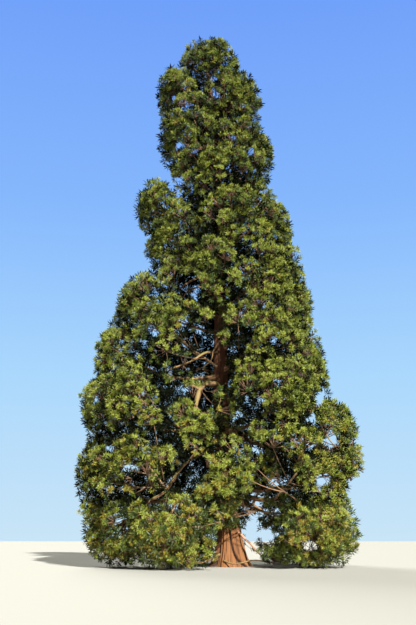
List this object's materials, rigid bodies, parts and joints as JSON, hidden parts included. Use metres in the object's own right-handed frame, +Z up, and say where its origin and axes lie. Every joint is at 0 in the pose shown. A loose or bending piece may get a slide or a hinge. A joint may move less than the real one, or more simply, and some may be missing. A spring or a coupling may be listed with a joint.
{
  "type": "giant sequoia tree",
  "caption": "Mature giant sequoia of open parkland: a flared, fibrous trunk and a dense, narrow cone of upswept foliage that reaches the ground all round.",
  "frame": {"origin": "the middle of the flat cut under the trunk, at ground level", "axes": "+Z up along the trunk; +X to the right and -Y towards the viewer in the picture"},
  "size_m": [17.4387, 15.0937, 35.6011],
  "materials": {
    "bark": "rough",
    "dead_wood": "rough",
    "needles": "matte"
  },
  "bodies": {
    "root": {"bare_branch": "dead_wood", "bough_low_back_left": "bark", "bough_low_back_right": "bark", "bough_low_front": "bark", "bough_low_front_left": "bark", "bough_low_front_right": "bark", "bough_low_left": "bark", "bough_low_right": "bark", "bough_lower_middle_back_right": "bark", "bough_lower_middle_front_left": "bark", "bough_lower_middle_front_right": "bark", "bough_lower_middle_left": "bark", "bough_lower_middle_right": "bark", "bough_middle_left": "bark", "foliage_crown_back": "needles", "foliage_crown_front_right": "needles", "foliage_crown_left": "needles", "foliage_high_back": "needles", "foliage_high_front_left": "needles", "foliage_high_front_right": "needles", "foliage_low_back_left": "needles", "foliage_low_back_right": "needles", "foliage_low_front": "needles", "foliage_low_front_left": "needles", "foliage_low_front_right": "needles", "foliage_low_left": "needles", "foliage_low_right": "needles", "foliage_lower_middle_back": "needles", "foliage_lower_middle_back_right": "needles", "foliage_lower_middle_front": "needles", "foliage_lower_middle_front_left": "needles", "foliage_lower_middle_front_right": "needles", "foliage_lower_middle_left": "needles", "foliage_lower_middle_right": "needles", "foliage_middle_back_left": "needles", "foliage_middle_back_right": "needles", "foliage_middle_front_left": "needles", "foliage_middle_front_right": "needles", "foliage_middle_left": "needles", "foliage_middle_right": "needles", "foliage_shoulder_back": "needles", "foliage_shoulder_front": "needles", "foliage_shoulder_front_right": "needles", "foliage_shoulder_left": "needles", "foliage_shoulder_right": "needles", "foliage_skirt_back_left": "needles", "foliage_skirt_back_right": "needles", "foliage_skirt_front_left": "needles", "foliage_skirt_front_right": "needles", "foliage_skirt_left": "needles", "foliage_top": "needles", "foliage_upper_back": "needles", "foliage_upper_front": "needles", "foliage_upper_left": "needles", "foliage_upper_middle_back": "needles", "foliage_upper_middle_front": "needles", "foliage_upper_middle_front_left": "needles", "foliage_upper_middle_right": "needles", "foliage_upper_right": "needles", "trunk": "bark"}
  },
  "joints": []
}
